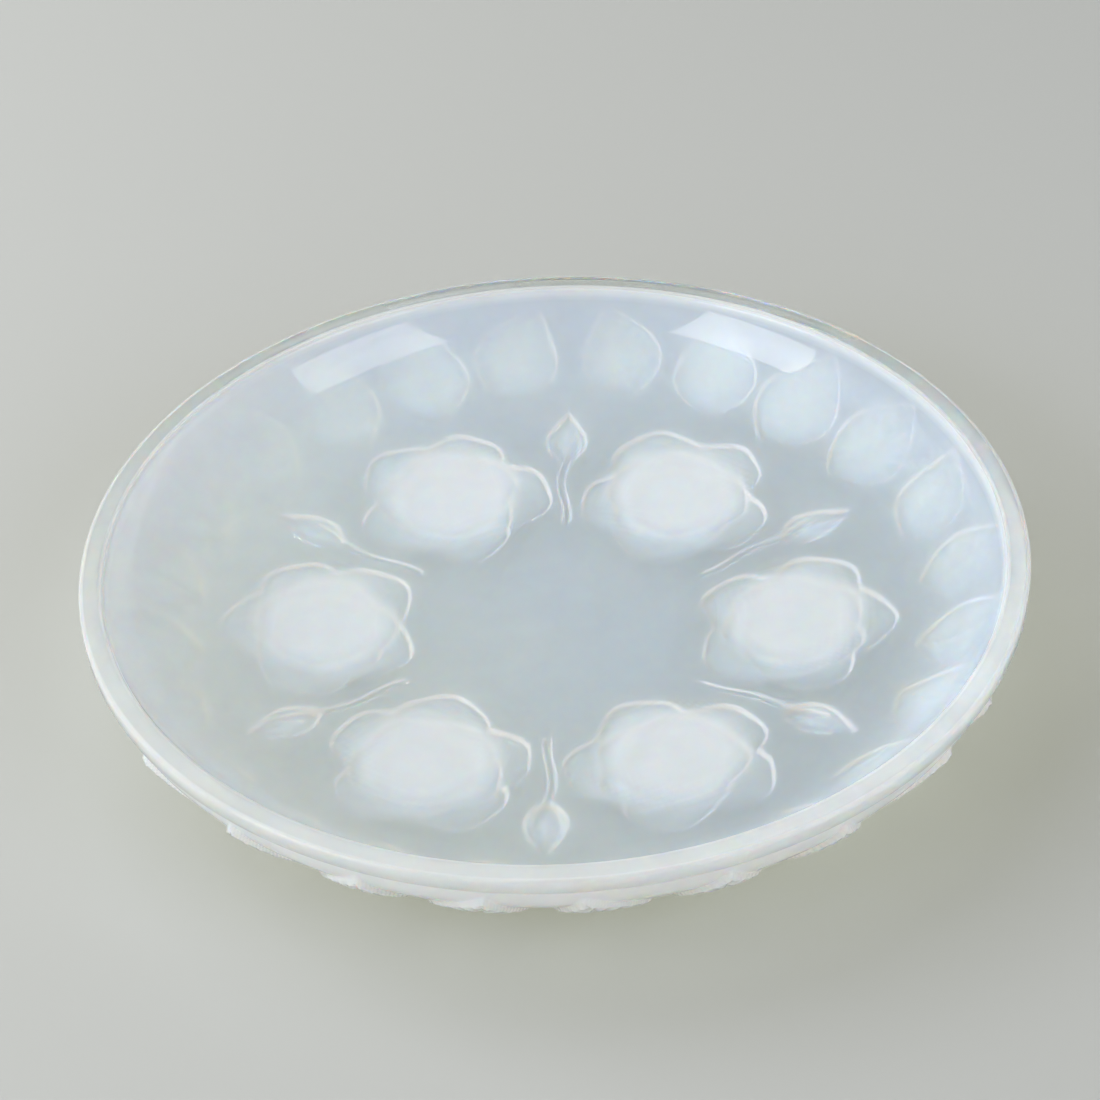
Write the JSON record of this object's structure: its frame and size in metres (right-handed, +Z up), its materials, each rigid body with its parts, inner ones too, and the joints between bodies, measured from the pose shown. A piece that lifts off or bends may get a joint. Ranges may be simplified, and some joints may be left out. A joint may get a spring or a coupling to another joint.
{
  "type": "shallow glass bowl",
  "caption": "Shallow round press-moulded opalescent glass bowl with a flat rim, smooth inside, with roses, leaves and buds in relief under it; stands on the roses' flat crowns.",
  "frame": {"origin": "middle of the plane that the bowl stands on", "axes": "+Z up out of the bowl; -Y is the side nearest the camera in the picture, +X is to its right"},
  "size_m": [0.35, 0.35, 0.051],
  "materials": {
    "opalescent_glass": "polished inside and on the rim, moulded below, clear where thin and milky white where thick"
  },
  "bodies": {
    "root": {"dish": "opalescent_glass", "rose_1": "opalescent_glass", "rose_2": "opalescent_glass", "rose_3": "opalescent_glass", "rose_4": "opalescent_glass", "rose_5": "opalescent_glass", "rose_6": "opalescent_glass", "leaf_1": "opalescent_glass", "leaf_2": "opalescent_glass", "leaf_3": "opalescent_glass", "leaf_4": "opalescent_glass", "leaf_5": "opalescent_glass", "leaf_6": "opalescent_glass", "leaf_7": "opalescent_glass", "leaf_8": "opalescent_glass", "leaf_9": "opalescent_glass", "leaf_10": "opalescent_glass", "leaf_11": "opalescent_glass", "leaf_12": "opalescent_glass", "leaf_13": "opalescent_glass", "leaf_14": "opalescent_glass", "leaf_15": "opalescent_glass", "leaf_16": "opalescent_glass", "leaf_17": "opalescent_glass", "leaf_18": "opalescent_glass", "leaf_19": "opalescent_glass", "leaf_20": "opalescent_glass", "leaf_21": "opalescent_glass", "leaf_22": "opalescent_glass", "leaf_23": "opalescent_glass", "leaf_24": "opalescent_glass", "bud_1": "opalescent_glass", "bud_2": "opalescent_glass", "bud_3": "opalescent_glass", "bud_4": "opalescent_glass", "bud_5": "opalescent_glass", "bud_6": "opalescent_glass", "stem_1": "opalescent_glass", "stem_2": "opalescent_glass", "stem_3": "opalescent_glass", "stem_4": "opalescent_glass", "stem_5": "opalescent_glass", "stem_6": "opalescent_glass"}
  },
  "joints": []
}
